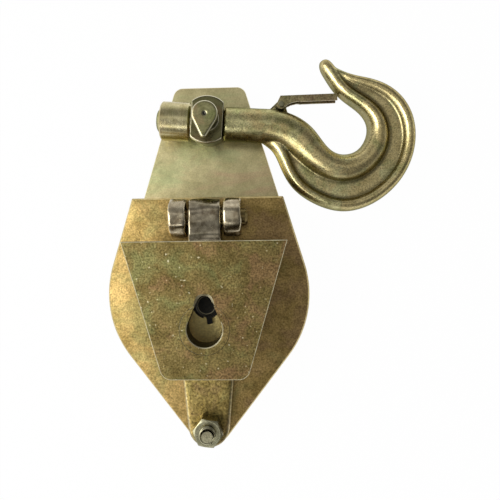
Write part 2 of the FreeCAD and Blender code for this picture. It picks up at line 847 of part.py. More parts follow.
def make_hook():
    body = new_body("hook")
    loft(body, rib_sections)
    profile = new_sketch(body, "XY_Plane")
    end = -collar_start - collar_length
    start = rib_sections[0][0]
    outline(profile, [
        (end - shank_end_height, 0),
        (end - shank_end_height, shank_end_radius / 2),
        (end, shank_end_radius, shank_end_radius * 0.7, "right"),
        (end, shank_bore_radius),
        (barrel_flat + running_gap, shank_bore_radius),
        (barrel_flat + running_gap, shank_radius - 1),
        (barrel_flat + running_gap + 1, shank_radius),
        (start, shank_radius),
        (start, 0),
    ])
    revolve(body, profile, "H_Axis")
    loft(body, bead_sections)
    web = new_sketch(body, "XY_Plane")
    outline(web, web_edge)
    pad(body, web, web_thickness, both_sides=True)
    boss = new_sketch(body, "XY_Plane", boss_level)
    lean = latch_boss_radius / math.sqrt(2)
    outline(boss, [
        (latch_pin_along - latch_boss_foot, shank_radius - 2),
        (latch_pin_along + latch_boss_radius * 1.8, latch_pin_height - latch_boss_foot),
        (latch_pin_along + latch_boss_radius, latch_pin_height),
        (latch_pin_along, latch_pin_height + latch_boss_radius, latch_boss_radius, "left"),
        (latch_pin_along - lean, latch_pin_height + lean, latch_boss_radius, "left"),
    ])
    pad(body, boss, latch_boss_width)
    hole = new_sketch(body, "XY_Plane")
    circle(hole, latch_pin_along, latch_pin_height, latch_pin_radius)
    pocket(body, hole, latch_width, both_sides=True)
    beside_hook(body, middle)


def make_latch():
    """Folded channel: two ears on the pin, and a bar that shuts the throat under the beak."""
    body = new_body("latch")
    x, y = latch_pin_along, latch_pin_height
    slope = (latch_tip_height - latch_heel_height) / latch_length
    top = y + latch_heel_height
    sweep = latch_ear_sweep
    side_view = new_sketch(body, "XY_Plane")
    outline(side_view, [
        (x - latch_ear_radius, y),
        (x, y - latch_ear_radius, latch_ear_radius, "left"),
        (x + latch_ear_radius * 0.6, y - latch_ear_radius * 0.8, latch_ear_radius, "left"),
        (x + sweep, top + slope * sweep - latch_bar_depth, sweep * 1.3, "right"),
        (x + latch_length + 0.6, y + latch_tip_height - latch_bar_depth),
        (x + latch_length, y + latch_tip_height),
        (x - latch_ear_radius / 4, top),
    ])
    circle(side_view, x, y, latch_pin_radius + pin_clearance)
    pad(body, side_view, latch_width, both_sides=True)
    inside = new_sketch(body, "XY_Plane")
    reach = latch_length * 1.1
    open_end = latch_boss_radius * 1.3
    outline(inside, [
        (x - sweep, y - sweep),
        (x + reach, y - sweep),
        (x + reach, top + slope * reach - latch_wall),
        (x + open_end, top + slope * open_end - latch_wall),
        (x + open_end, y + sweep),
        (x - sweep, y + sweep),
    ])
    pocket(body, inside, latch_width - latch_wall * 2, both_sides=True)
    beside_hook(body, middle)


def make_latch_pin():
    body = new_body("latch_pin")
    pin = new_sketch(body, "XY_Plane")
    circle(pin, latch_pin_along, latch_pin_height, latch_pin_radius)
    reach = latch_width / 2 + pin_clearance * 2
    pad(body, pin, reach * 2, both_sides=True)
    for side in (1, -1):
        head = new_sketch(body, "XY_Plane", side * reach)
        circle(head, latch_pin_along, latch_pin_height, latch_pin_radius * 1.4)
        pad(body, head, latch_pin_radius / 2, downwards=side < 0)
    ends = at_level(reach + latch_pin_radius / 2, -reach - latch_pin_radius / 2)
    round_edges(body, latch_pin_radius / 4, ends, chamfer=True)
    beside_hook(body, middle)


def make_latch_spring():
    """Torsion spring on the latch's pin: close turns, drawn as rings, and a leg each way."""
    body = new_body("latch_spring")
    low = boss_level + latch_boss_width + pin_clearance * 2
    wire, radius = spring_wire_radius, spring_coil_radius
    turns = [low + wire * 2 * n for n in range(spring_turns)]
    edge = [(height, wire / 3) for height in turns]
    edge += [(height + wire / 2, wire) for height in turns]
    edge += [(height + wire * 1.5, wire) for height in turns]
    edge.sort(key=lambda corner: corner[0].value)
    edge.append((low + wire * 2 * spring_turns, wire / 3))
    latch_leg, hook_leg = 11, 47
    coil = upright_sketch(body, latch_leg, latch_pin_along, latch_pin_height)
    outline(coil, [(radius + out, height) for height, out in edge]
            + [(radius - out, height) for height, out in reversed(edge)])
    revolve(body, coil, "V_Axis")
    for heading, level, length, back in (
            (latch_leg, turns[0], latch_boss_radius * 0.8, False),
            (hook_leg, turns[-1], latch_boss_radius * 1.8, True)):
        leg = upright_sketch(body, heading, latch_pin_along, latch_pin_height)
        circle(leg, radius, level + wire, wire * 0.9)
        pad(body, leg, length, downwards=back)
    beside_hook(body, middle)


def along_shank(body):
    """Places a piece that was turned about Z on the hook's shank, at its angle of rest."""
    place(body, 0, crosshead_along, middle)
    body.setExpression("Placement.Rotation.Yaw", (-rest_turn).text)
    body.setExpression("Placement.Rotation.Pitch", "90")


make_hook()
make_latch()
make_latch_pin()
make_latch_spring()
shank_collar = turned("shank_collar", bush_profile(
    shank_bore_radius, collar_radius, -collar_start - collar_length, -collar_start, 1))
along_shank(shank_collar)
shank_washer = turned("shank_washer", bush_profile(
    shank_bore_radius + pin_clearance, shank_radius - 1, -collar_start + pin_clearance,
    -barrel_flat - running_gap, 0.2))
along_shank(shank_washer)


def make_sheave():
    """Sheave with a round rope groove, a recessed web and a hub a little wider than its rim."""
    hub = cheek_gap / 2 - hub_washer - hub_play
    rim = sheave_width / 2
    web = web_of_sheave / 2
    flank = groove_radius * 0.99
    rise = groove_root_radius + groove_radius * 1.14
    body = turned("sheave", [
        (hub_bush_radius, -hub),
        (hub_radius, -hub),
        (hub_radius + 1, -web),
        (rim_inner_radius, -web),
        (rim_inner_radius + 2, -rim),
        (sheave_radius - 1, -rim),
        (sheave_radius, -rim + 1),
        (sheave_radius, -groove_half_mouth),
        (rise, -flank),
        (groove_root_radius, 0, groove_radius, "right"),
        (rise, flank, groove_radius, "right"),
        (sheave_radius, groove_half_mouth),
        (sheave_radius, rim - 1),
        (sheave_radius - 1, rim),
        (rim_inner_radius + 2, rim),
        (rim_inner_radius, web),
        (hub_radius + 1, web),
        (hub_radius, hub),
        (hub_bush_radius, hub),
    ])
    place(body, 0, 0, middle)
    bush = turned("hub_bush", bush_profile(
        axle_radius + pin_clearance, hub_bush_radius, -hub, hub))
    place(bush, 0, 0, middle)


make_sheave()
for name, low in (("hub_washer_rear", rear_inside), ("hub_washer_front", front_inside - hub_washer)):
    turned(name, bush_profile(
        axle_radius + pin_clearance, hub_radius - 1, low, low + hub_washer, 0.2))

ring_level = front_top + 0.5
turned("axle", [
    (0, 0),
    (axle_head_radius, 0),
    (axle_radius, axle_head_depth),
    (axle_radius, front_face - 0.1),
    (axle_tail_radius, front_face - 0.1),
    (axle_tail_radius, ring_level),
    (axle_tail_radius - ring_depth, ring_level),
    (axle_tail_radius - ring_depth, ring_level + ring_thickness),
    (axle_tail_radius, ring_level + ring_thickness),
    (axle_tail_radius, front_top + axle_tail_height - 1),
    (axle_tail_radius - 1, front_top + axle_tail_height),
    (0, front_top + axle_tail_height),
])


def make_axle_ring():
    """Retaining ring with a gap and one long tab."""
    body = new_body("axle_ring")
    ring = new_sketch(body, "XY_Plane", ring_level)
    circle(ring, 0, 0, ring_outer_radius)
    circle(ring, 0, 0, axle_tail_radius - ring_depth)
    pad(body, ring, ring_thickness)
    tab = new_sketch(body, "XY_Plane", ring_level)
    half = ring_tab / 2
    outline(tab, [
        (-half, -ring_tab_reach),
        (half, -ring_tab_reach),
        (half, -axle_tail_radius),
        (-half, -axle_tail_radius),
    ])
    pad(body, tab, ring_thickness)
    gap = new_sketch(body, "XY_Plane", ring_level)
    outline(gap, [
        (-half * 2, -ring_tab_reach),
        (-half, -ring_tab_reach),
        (-half, 0),
        (-half * 2, 0),
    ])
    pocket(body, gap, ring_thickness)
    place(body, 0, 0, 0, Vector(0, 0, 1), ring_turn)


make_axle_ring()
bottom_spacer = turned("bottom_spacer", bush_profile(
    bolt_hole, spacer_radius, rear_inside, front_inside))
place(bottom_spacer, 0, -bottom_bolt_drop, 0)
bolt_top = front_top + nut_height + bolt_end
bottom_bolt = turned("bottom_bolt", [
    (0, 0),
    (bolt_head_radius, 0),
    (bolt_radius, bolt_head_radius - bolt_radius),
    (bolt_radius, bolt_top - 1.2),
    (bolt_radius - 1.2, bolt_top),
    (0, bolt_top),
])
place(bottom_bolt, 0, -bottom_bolt_drop, 0)


def make_bottom_nut():
    body = new_body("bottom_nut")
    sketch = new_sketch(body, "XY_Plane")
    corner = nut_half_width * 2 / math.sqrt(3)
    outline(sketch, [
        (nut_half_width, -corner / 2),
        (nut_half_width, corner / 2),
        (0, corner),
        (-nut_half_width, corner / 2),
        (-nut_half_width, -corner / 2),
        (0, -corner),
    ])
    circle(sketch, 0, 0, bolt_radius)
    pad(body, sketch, nut_height)
    corners = new_sketch(body, "XZ_Plane")
    outline(corners, [
        (nut_half_width * 0.96, nut_height),
        (nut_half_width * 1.3, nut_height - nut_half_width * 0.2),
        (nut_half_width * 1.3, nut_height),
    ])
    groove(body, corners, "V_Axis")
    place(body, 0, -bottom_bolt_drop, front_top, Vector(0, 0, 1), 5)


make_bottom_nut()
doc.recompute()

failed = [o.Label for o in doc.Objects if "Invalid" in o.State or "Error" in o.State]
assert not failed, f"these objects failed: {failed}"
bodies = [o for o in doc.Objects if o.TypeId == "PartDesign::Body"]
for body in bodies:
    assert not body.Shape.isNull() and body.Shape.isValid(), f"{body.Label} has no valid shape"
for body in bodies:
    body.Shape.exportStep(f"parts/{body.Label}.step")
    box = body.Shape.BoundBox
    print(f"{body.Label:18s} {len(body.Shape.Solids)} solid, {body.Shape.Volume / 1000:8.2f} cm3,"
          f" z {box.ZMin:6.2f} to {box.ZMax:6.2f}")
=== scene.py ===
# %% [markdown]
# # A pulley block in yellow zinc
#
# The block lies on its back, its door folded open over the front cheek and its
# hook swung to the right, and the camera looks straight down on it. The CAD
# frame brings every plate, pin and wheel at its true size. This lesson gives
# each one the finish of the real metal, and models again the pieces whose
# surface CAD can't give: the forged hook, the flame-cut hinge lugs, the rolled
# strap, the tumbled crosshead, edges broken by hand, and the bolt's thread.

# %% Load the frame
import bpy
import json
import math
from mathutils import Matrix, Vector


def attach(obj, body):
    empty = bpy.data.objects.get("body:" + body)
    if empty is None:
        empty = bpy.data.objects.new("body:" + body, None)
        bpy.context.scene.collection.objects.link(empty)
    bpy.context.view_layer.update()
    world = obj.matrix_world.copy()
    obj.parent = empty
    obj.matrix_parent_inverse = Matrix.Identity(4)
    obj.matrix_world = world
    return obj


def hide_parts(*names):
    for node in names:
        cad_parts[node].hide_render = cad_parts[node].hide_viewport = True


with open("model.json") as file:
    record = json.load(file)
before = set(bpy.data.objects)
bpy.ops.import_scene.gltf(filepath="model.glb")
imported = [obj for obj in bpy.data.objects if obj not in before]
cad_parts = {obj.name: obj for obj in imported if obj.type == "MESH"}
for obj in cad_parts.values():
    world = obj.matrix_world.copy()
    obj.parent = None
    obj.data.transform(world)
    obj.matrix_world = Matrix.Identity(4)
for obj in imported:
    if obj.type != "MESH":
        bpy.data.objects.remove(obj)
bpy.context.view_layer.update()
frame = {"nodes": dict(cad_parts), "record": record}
nodes = frame["nodes"]

# %% [markdown]
# ## How a finish is written down
#
# A material is a small network of nodes. One function adds a node, with its
# settings and with whatever goes into its sockets: a number, a colour, or the
# node that feeds it. Colours are written in hex, as on a paint card, and are
# turned linear on the way. Patterns read Object coordinates, which are metres
# here, so a pattern with features of a known width needs a scale of one metre
# over that width.

# %% Colours, widths and nodes
MM = 0.001


def linear(colour):
    """Turns an sRGB hex colour into the linear colour that a socket takes."""
    parts = [int(colour[i:i + 2], 16) / 255 for i in (1, 3, 5)]
    bent = [c / 12.92 if c <= 0.04045 else ((c + 0.055) / 1.055) ** 2.4 for c in parts]
    return (*bent, 1.0)


def per_mm(width):
    """The noise scale whose features are about this many millimetres wide."""
    return 1000 / width


def add(tree, kind, inputs=None, **settings):
    """Adds one node. A socket is named by its label, and a 2 after it means the second of
    that label. It takes a number, a hex colour, a node or one output of a node."""
    node = tree.nodes.new("ShaderNode" + kind)
    for name, value in settings.items():
        setattr(node, name, value)
    for name, value in (inputs or {}).items():
        sockets = [s for s in node.inputs if s.enabled and s.name == name.rstrip("2")]
        socket = sockets[1 if name.endswith("2") else 0]
        if isinstance(value, bpy.types.Node):
            value = [s for s in value.outputs if s.enabled][0]
        if isinstance(value, bpy.types.NodeSocket):
            tree.links.new(value, socket)
        else:
            socket.default_value = linear(value) if isinstance(value, str) else value
    return node


def blank(name):
    """A new material with an empty network and the coordinates to build on."""
    material = bpy.data.materials.new(name)
    material.use_nodes = True
    tree = material.node_tree
    tree.nodes.clear()
    return material, tree, add(tree, "TexCoord")


print("a gold of #8a7648 is", [round(c, 3) for c in linear("#8a7648")])

# %% [markdown]
# ## Where a finish changes
#
# Wear, painted highlight and painted shade aren't spread evenly, and a network can
# find their places from the shape alone. An edge is found by its normal, which on a
# chamfer leans between the two faces that it joins. A ring about an axis is found
# by its distance from that axis. The green and pink patches of the film are two ends
# of one noise pattern, so they never lie over each other.

# %% Find edges, rings and patches
def from_axis(tree, place):
    """The distance from the Z axis."""
    flat = add(tree, "VectorMath", {"Vector": place, "Vector2": (1, 1, 0)},
               operation="MULTIPLY")
    return add(tree, "VectorMath", {"Vector": flat}, operation="LENGTH").outputs["Value"]


def lean_of(tree, coords, axis):
    """1 on a face that looks along an axis, 0 on one that looks across it."""
    normal = add(tree, "SeparateXYZ", {"Vector": coords.outputs["Normal"]})
    return add(tree, "Math", {"Value": normal.outputs[axis]}, operation="ABSOLUTE")


def edges_of(tree, lean, full_at, most=1.0):
    """Up to its most on a chamfer, and 0 on the two faces that it joins."""
    off_side = add(tree, "MapRange", {"Value": lean, "From Min": 0.2, "From Max": 0.5,
                                      "To Max": most})
    off_face = add(tree, "MapRange", {"Value": lean, "From Min": 0.97, "From Max": full_at})
    return add(tree, "Math", {"Value": off_side, "Value2": off_face}, operation="MULTIPLY")


def tints_of(tree, patches, tint):
    """Where the film is green, and where it is pink."""
    return [add(tree, "MapRange", {"Value": patches, "From Min": start, "From Max": end,
                                   "To Max": tint})
            for start, end in ((0.52, 0.66), (0.46, 0.34))]


print("a chamfer of 45 degrees leans by", round(math.cos(math.radians(45)), 2))

# %% [markdown]
# ## Zinc with a yellow chromate film
#
# The steel is zinc plated and dipped in a chromate bath. The bath leaves a film
# less than a micrometre thick, gold where it is even and green or pink where
# it is thicker or thinner, like oil on water. Under it the surface keeps the
# fine pebbles of rolled and blasted steel.
#
# Paint would be a coat over the metal, but this film is clear, so the material
# stays fully metallic and only its colour wanders. Four patterns make it:
# clouds a centimetre wide between two golds, wider green and pink patches, a
# grain about a millimetre wide that both darkens and dents the surface, and
# pale specks where the tops of the pebbles are rubbed. The real pebbles are a
# few tenths of a millimetre wide, finer than one pixel of the picture, so they
# are drawn coarser.
#
# Handling rubs the film off the edges, and the pale edges are also a painted
# highlight, on every chamfer alike. Steep flanks are painted darker, as painted
# shade. Each plate is also painted a little lighter on one side and darker on
# the other, as painted light and shade. A strap can have a bright round face
# about the axle, cut by a tool and painted paler, as painted light where the
# door shades it.

# %% The passivated finish
DRIFT = -1.6             # per metre to the right: the patches turn from green to pink
HALF_WIDTH = 60          # about half of the block's width, in millimetres
# Painted shade in the hook's hollows
HOLLOW_SHADE = "#2c2919"
# A tool-cut face about the axle, painted paler as painted light where the door shades it
FACED_LIT_ZINC = "#d8c688"     # where a tool cut the face about the axle


def passivated(name, gold, dark, green="#868f5c", pink="#9a7862", tint=0.35, cloud=14,
               along=(1, 1, 1), grain=1.1, speckle=0.4, pebble=0.08, wave=0.15, rough=0.42,
               edge_axis=2, edge_wear_and_highlight=0.8, pale="#efe6c2", specks=0.2, coat=0.0, flank_shade_colour=None,
               flank_shade=0.0, lit_seat=0, side_shade=0.0, hollow_shade=0.0, edge_tint="#ffffff"):
    """Zinc with a yellow film. Widths are in millimetres, and pebble and wave are the
    heights of the bumps. Tint, speckle, edge_wear_and_highlight, specks, flank_shade,
    side_shade and hollow_shade are how strongly each of them shows. The pale edges are
    abraded zinc and a painted highlight; the dark sloping sides, the side shade and the
    dark hollow places are painted shade and light. lit_seat is the radius of a face cut
    about the axle, painted paler as painted light, and edge_tint tones down what the
    metal mirrors at a glance."""
    material, tree, coords = blank(name)
    place = coords.outputs["Object"]
    right = add(tree, "SeparateXYZ", {"Vector": place})
    lean = lean_of(tree, coords, edge_axis)

    clouds = add(tree, "TexNoise", {"Vector": place, "Scale": per_mm(cloud), "Detail": 6,
                                    "Roughness": 0.65})
    cloudy = add(tree, "MapRange", {"Value": clouds, "From Min": 0.38, "From Max": 0.62})
    drawn = add(tree, "VectorMath", {"Vector": place, "Vector2": along}, operation="MULTIPLY")
    patches = add(tree, "TexNoise", {"Vector": drawn, "Scale": per_mm(cloud * 1.5),
                                     "Detail": 5, "Roughness": 0.6, "Distortion": 0.5})
    drift = add(tree, "Math", {"Value": right, "Value2": DRIFT}, operation="MULTIPLY")
    patches = add(tree, "Math", {"Value": patches, "Value2": drift}, operation="ADD")
    greener, pinker = tints_of(tree, patches, tint)
    pebbles = add(tree, "TexNoise", {"Vector": place, "Scale": per_mm(grain), "Detail": 2,
                                     "Roughness": 0.6})
    shade = add(tree, "MapRange", {"Value": pebbles, "From Min": 0.32, "From Max": 0.68,
                                   "To Min": 1 - speckle, "To Max": 1 + speckle})
    # Painted light and shade: each plate painted lighter on one side and darker on the other
    painted_side_shade = add(tree, "MapRange", {"Value": right, "From Min": -HALF_WIDTH * MM,
                                   "From Max": HALF_WIDTH * MM, "To Min": 1 + side_shade,
                                   "To Max": 1 - side_shade})
    layers = [(cloudy, gold, "MIX"), (greener, green, "MIX"), (pinker, pink, "MIX"),
              (1.0, shade, "MULTIPLY"), (1.0, painted_side_shade, "MULTIPLY")]
    # Painted shade in the hollows
    if hollow_shade:
        relief = add(tree, "VertexColor", layer_name="relief")
        painted_hollow_shade = add(tree, "MapRange", {"Value": relief, "From Min": 0.035, "From Max": 0.0,
                                        "To Max": hollow_shade})
        layers.append((painted_hollow_shade, HOLLOW_SHADE, "MIX"))
    dots = add(tree, "TexNoise", {"Vector": place, "Scale": per_mm(2.2), "Detail": 2,
                                  "Roughness": 0.5})
    dots = add(tree, "MapRange", {"Value": dots, "From Min": 0.70, "From Max": 0.75,
                                  "To Max": specks})
    layers.append((dots, pale, "MIX"))
    # Painted shade on the steep flanks
    if flank_shade:
        painted_steep_shade = add(tree, "MapRange", {"Value": lean, "From Min": 0.95, "From Max": 0.3,
                                       "To Max": flank_shade})
        layers.append((painted_steep_shade, flank_shade_colour, "MIX"))
    # A face cut about the axle, painted paler as painted light where the door shades it
    if lit_seat:
        faced_and_lit = add(tree, "MapRange", {"Value": from_axis(tree, place),
                                       "From Min": lit_seat * MM, "From Max": (lit_seat - 1) * MM,
                                       "To Max": 0.55})
        layers.append((faced_and_lit, FACED_LIT_ZINC, "MIX"))
    # Pale edges on every chamfer: abraded zinc, and a painted highlight
    patchy_wear_and_highlight = add(tree, "TexNoise", {"Vector": place, "Scale": per_mm(6), "Detail": 4,
                                  "Roughness": 0.7})
    patchy_wear_and_highlight = add(tree, "MapRange", {"Value": patchy_wear_and_highlight, "From Min": 0.35, "From Max": 0.6,
                                  "To Min": 0.5 * edge_wear_and_highlight, "To Max": edge_wear_and_highlight})
    bare_and_highlit = add(tree, "Math", {"Value": edges_of(tree, lean, 0.9), "Value2": patchy_wear_and_highlight},
               operation="MULTIPLY")
    layers.append((bare_and_highlit, pale, "MIX"))

    film = dark
    for share, colour, blend in layers:
        film = add(tree, "Mix", {"Factor": share, "A": film, "B": colour},
                   data_type="RGBA", blend_type=blend)
    gloss = add(tree, "TexNoise", {"Vector": place, "Scale": per_mm(4), "Detail": 5,
                                   "Roughness": 0.65})
    gloss = add(tree, "MapRange", {"Value": gloss, "From Min": 0.3, "From Max": 0.7,
                                   "To Min": rough - 0.07, "To Max": rough + 0.07})
    pitted = add(tree, "Bump", {"Strength": 1.0, "Distance": pebble * MM, "Height": pebbles})
    hills = add(tree, "TexNoise", {"Vector": place, "Scale": per_mm(11), "Detail": 2,
                                   "Roughness": 0.5})
    uneven = add(tree, "Bump", {"Strength": 1.0, "Distance": wave * MM, "Height": hills,
                                "Normal": pitted})
    metal = add(tree, "BsdfPrincipled", {"Base Color": film, "Metallic": 1.0,
                                         "Roughness": gloss, "Specular Tint": edge_tint,
                                         "Coat Weight": coat, "Coat Roughness": 0.15,
                                         "Normal": uneven})
    add(tree, "OutputMaterial", {"Surface": metal})
    return material


# Front cheek: rolled plate, brown-gold and even, painted darker towards the right as
# painted shade
cheek_zinc = passivated("chromated_rolled_plate", "#c2a467", "#98804a", cloud=16,
                        speckle=0.35, pebble=0.06, wave=0.12, rough=0.36, edge_wear_and_highlight=0.7,
                        pale="#ead9a0", side_shade=0.17)
print(cheek_zinc.name, "has", len(cheek_zinc.node_tree.nodes), "nodes")

# %% Plate, bar and sheet
# Door: blasted plate that has been handled, olive-brown, with more of the rubbed specks,
# its walls painted dark as painted shade and its right side a little lighter as painted light
door_zinc = passivated("chromated_blasted_door", "#8f7e4e", "#716239", pink="#a37c5c",
                       tint=0.4, cloud=11, speckle=0.5, wave=0.12, rough=0.5, specks=0.7,
                       edge_wear_and_highlight=0.85, flank_shade_colour="#2e2717", flank_shade=0.85, side_shade=-0.05)
# Strap: hot-rolled bar whose scale left deep pebbles under the zinc
bar_zinc = passivated("chromated_hot_rolled_bar", "#ab965a", "#857240", tint=0.25, cloud=9,
                      grain=1.5, speckle=0.5, pebble=0.2, edge_wear_and_highlight=0.3, lit_seat=27)
# Rear cheek: cold-rolled sheet, so smooth that the film shines pale with soft rainbows
sheet_zinc = passivated("chromated_cold_rolled_sheet", "#dbcf9c", "#c3b887",
                        green="#b5c48c", pink="#d8b692", tint=0.48, along=(0.3, 1, 1),
                        grain=0.9, speckle=0.12, pebble=0.015, wave=0.10, rough=0.36,
                        side_shade=0.04)
# Latch: pressed sheet, greyer and darker
latch_zinc = passivated("chromated_pressed_latch", "#b0a579", "#7f7552", cloud=5,
                        pebble=0.1)
print("plate finishes:", door_zinc.name, bar_zinc.name, sheet_zinc.name, latch_zinc.name)

# %% [markdown]
# ## Turned parts
#
# The crosshead, the collar, the pins and the bushes come off a lathe. The tool
# leaves rings about the axis, so their pattern depends on the distance from
# the axis and on the place along it, and hardly on the angle. A Mapping node
# moves the axis of each part onto local Z first. The real feed marks are
# a tenth of a millimetre apart. They are drawn nine tenths of a millimetre
# wide, or they wouldn't show.

# %% The turned finish
# Pale chamfers: abraded zinc, and a painted highlight
BARE_HIGHLIT_ZINC = "#e9e2c4"
# Painted shade low down
LOW_SHADE = "#3d3722"
# Painted shade in the dent of the centre mark
PUNCH_SHADE = "#3a3836"


def turned(name, gold, dark, axis_at=(0, 0, 0), axis_turn=(0, 0, 0), rough=0.3, mark=0.03,
           streak=0.2, tint=0.25, green="#8a945c", pink="#a58263", shaded_below=0,
           edge_wear_and_highlight=0.0, punch_shade=0):
    """Zinc with a yellow film over lathe marks about an axis at a place, turned in degrees.
    Below a height it is painted darker, as painted shade, and a centre mark is painted dark
    to a radius, as painted shade in its dent, both in millimetres. Its pale edges are
    abraded zinc and a painted highlight."""
    material, tree, coords = blank(name)
    place = coords.outputs["Object"]
    local = add(tree, "Mapping", {"Vector": place, "Location": [v * MM for v in axis_at],
                                  "Rotation": [math.radians(v) for v in axis_turn]},
                vector_type="TEXTURE")
    radius = from_axis(tree, local)
    along = add(tree, "SeparateXYZ", {"Vector": local})
    rings = add(tree, "CombineXYZ", {"X": radius, "Z": along.outputs["Z"]})
    marks = add(tree, "TexNoise", {"Vector": rings, "Scale": per_mm(0.9), "Detail": 3,
                                   "Roughness": 0.6})

    clouds = add(tree, "TexNoise", {"Vector": place, "Scale": per_mm(7), "Detail": 6,
                                    "Roughness": 0.65})
    cloudy = add(tree, "MapRange", {"Value": clouds, "From Min": 0.36, "From Max": 0.64})
    patches = add(tree, "TexNoise", {"Vector": place, "Scale": per_mm(13), "Detail": 4,
                                     "Distortion": 0.5})
    greener, pinker = tints_of(tree, patches, tint)
    spots = add(tree, "TexNoise", {"Vector": place, "Scale": per_mm(1.6), "Detail": 3,
                                   "Roughness": 0.7})
    both = add(tree, "Mix", {"Factor": 0.5, "A": spots, "B": marks}, data_type="FLOAT")
    shade = add(tree, "MapRange", {"Value": both, "From Min": 0.36, "From Max": 0.64,
                                   "To Min": 1 - streak, "To Max": 1 + streak})
    layers = [(cloudy, gold, "MIX"), (greener, green, "MIX"), (pinker, pink, "MIX"),
              (1.0, shade, "MULTIPLY")]
    # Painted shade below a height
    if shaded_below:
        height = add(tree, "SeparateXYZ", {"Vector": place})
        painted_low_shade = add(tree, "MapRange", {"Value": height.outputs["Z"],
                                       "From Min": (shaded_below - 3) * MM,
                                       "From Max": shaded_below * MM,
                                       "To Min": 0.5, "To Max": 0.0})
        layers.append((painted_low_shade, LOW_SHADE, "MIX"))
    # Pale edges: abraded zinc, and a painted highlight
    if edge_wear_and_highlight:
        bare_and_highlit = edges_of(tree, lean_of(tree, coords, 2), 0.85, edge_wear_and_highlight)
        layers.append((bare_and_highlit, BARE_HIGHLIT_ZINC, "MIX"))
    # Painted shade in the centre mark's dent
    if punch_shade:
        painted_punch_shade = add(tree, "MapRange", {"Value": radius, "From Min": (punch_shade + 0.6) * MM,
                                       "From Max": punch_shade * MM, "To Max": 0.9})
        layers.append((painted_punch_shade, PUNCH_SHADE, "MIX"))

    film = dark
    for share, colour, blend in layers:
        film = add(tree, "Mix", {"Factor": share, "A": film, "B": colour},
                   data_type="RGBA", blend_type=blend)
    gloss = add(tree, "MapRange", {"Value": both, "From Min": 0.35, "From Max": 0.65,
                                   "To Min": rough - 0.06, "To Max": rough + 0.06})
    grooves = add(tree, "Bump", {"Strength": 1.0, "Distance": mark * MM, "Height": both})
    metal = add(tree, "BsdfPrincipled", {"Base Color": film, "Metallic": 1.0,
                                         "Roughness": gloss, "Normal": grooves})
    add(tree, "OutputMaterial", {"Surface": metal})
    return material


# The sheave is turned about the block's own axis, and so are the axle's washers
hub_zinc = turned("chromated_turned_sheave", "#b3a26c", "#8a7a4a")
print(hub_zinc.name, "has", len(hub_zinc.node_tree.nodes), "nodes")

# %% Collar, crosshead, pin, bolt and bush
# Axes of these parts, in millimetres. The shank points along X, a little downwards.
SWIVEL_Y, SHANK_Z, SHANK_TURN = 118.2, 29.3, 4.3
HINGE_Y, HINGE_Z = 53.4, 60.8
BOLT_Y = -75.6

# Collar: turned bright, and worn smooth where it bears
collar_zinc = turned("chromated_turned_collar", "#d6cb9e", "#b4a878", rough=0.24,
                     streak=0.14, axis_at=(0, SWIVEL_Y, SHANK_Z),
                     axis_turn=(0, 90, -SHANK_TURN))
# Crosshead: greener, painted darker round its head as painted shade, its pale edges
# abraded and a painted highlight, and its centre mark painted dark as painted shade
block_zinc = turned("chromated_turned_crosshead", "#9a966c", "#7b784e", streak=0.3,
                    axis_at=(0, SWIVEL_Y, 0), tint=0.4, shaded_below=58.5, edge_wear_and_highlight=0.8,
                    punch_shade=1.1)
# Hinge pin: its end is riveted over, so it is dull and brown
pin_zinc = turned("chromated_turned_pin", "#84724a", "#5c4f30",
                  axis_at=(0, HINGE_Y, HINGE_Z), axis_turn=(0, 90, 0))
# Bolt, nut and latch pin: clear zinc, silvery, and painted darker below the nut's top,
# where the nut meets the strap, as painted shade
bolt_zinc = turned("clear_zinc_bolt", "#cdc8a4", "#9c987a", rough=0.27, mark=0.015,
                   green="#a5ab86", pink="#b6a183", axis_at=(0, BOLT_Y, 0),
                   shaded_below=67)
# Hub bush: plain bronze with no film, brown-gold
bronze = turned("turned_tin_bronze", "#b58a4e", "#8f6a38", tint=0.0)
print("lathe finishes:", [m.name for m in bpy.data.materials if "turned" in m.name])

# %% [markdown]
# ## Black spring steel
#
# The retaining ring, the axle and the latch's spring are blackened in a hot
# salt bath. It leaves a thin oxide, nearly black and faintly brown, with
# an oily shine and no zinc on it. The axle's end stands proud, and its rim is
# a thin bright ring, abraded, and a painted highlight too.

# %% The blackened finish
def blackened(name, rim=0):
    """Black oxide with a bright ring about the axle's axis, its radius in millimetres. The
    ring is abraded oxide and a painted highlight.
    """
    material, tree, coords = blank(name)
    place = coords.outputs["Object"]
    cloud = add(tree, "TexNoise", {"Vector": place, "Scale": per_mm(3), "Detail": 5,
                                   "Roughness": 0.7})
    cloud = add(tree, "MapRange", {"Value": cloud, "From Min": 0.4, "From Max": 0.65})
    oxide = add(tree, "Mix", {"Factor": cloud, "A": "#12120d", "B": "#221e15"},
                data_type="RGBA")
    # A bright ring at the axle's rim: abraded oxide, and a painted highlight
    if rim:
        off_rim = add(tree, "Math", {"Value": from_axis(tree, place), "Value2": rim * MM},
                      operation="SUBTRACT")
        off_rim = add(tree, "Math", {"Value": off_rim}, operation="ABSOLUTE")
        worn_and_highlit_rim = add(tree, "MapRange", {"Value": off_rim, "From Min": 0.35 * MM,
                                      "From Max": 0.1 * MM, "To Max": 0.8})
        oxide = add(tree, "Mix", {"Factor": worn_and_highlit_rim, "A": oxide, "B": "#8a8268"},
                    data_type="RGBA")
    grain = add(tree, "TexNoise", {"Vector": place, "Scale": per_mm(0.8), "Detail": 3,
                                   "Roughness": 0.7})
    gloss = add(tree, "MapRange", {"Value": grain, "To Min": 0.3, "To Max": 0.55})
    dents = add(tree, "Bump", {"Strength": 1.0, "Distance": 0.03 * MM, "Height": grain})
    metal = add(tree, "BsdfPrincipled", {"Base Color": oxide, "Metallic": 0.7,
                                         "Roughness": gloss, "Normal": dents})
    add(tree, "OutputMaterial", {"Surface": metal})
    return material


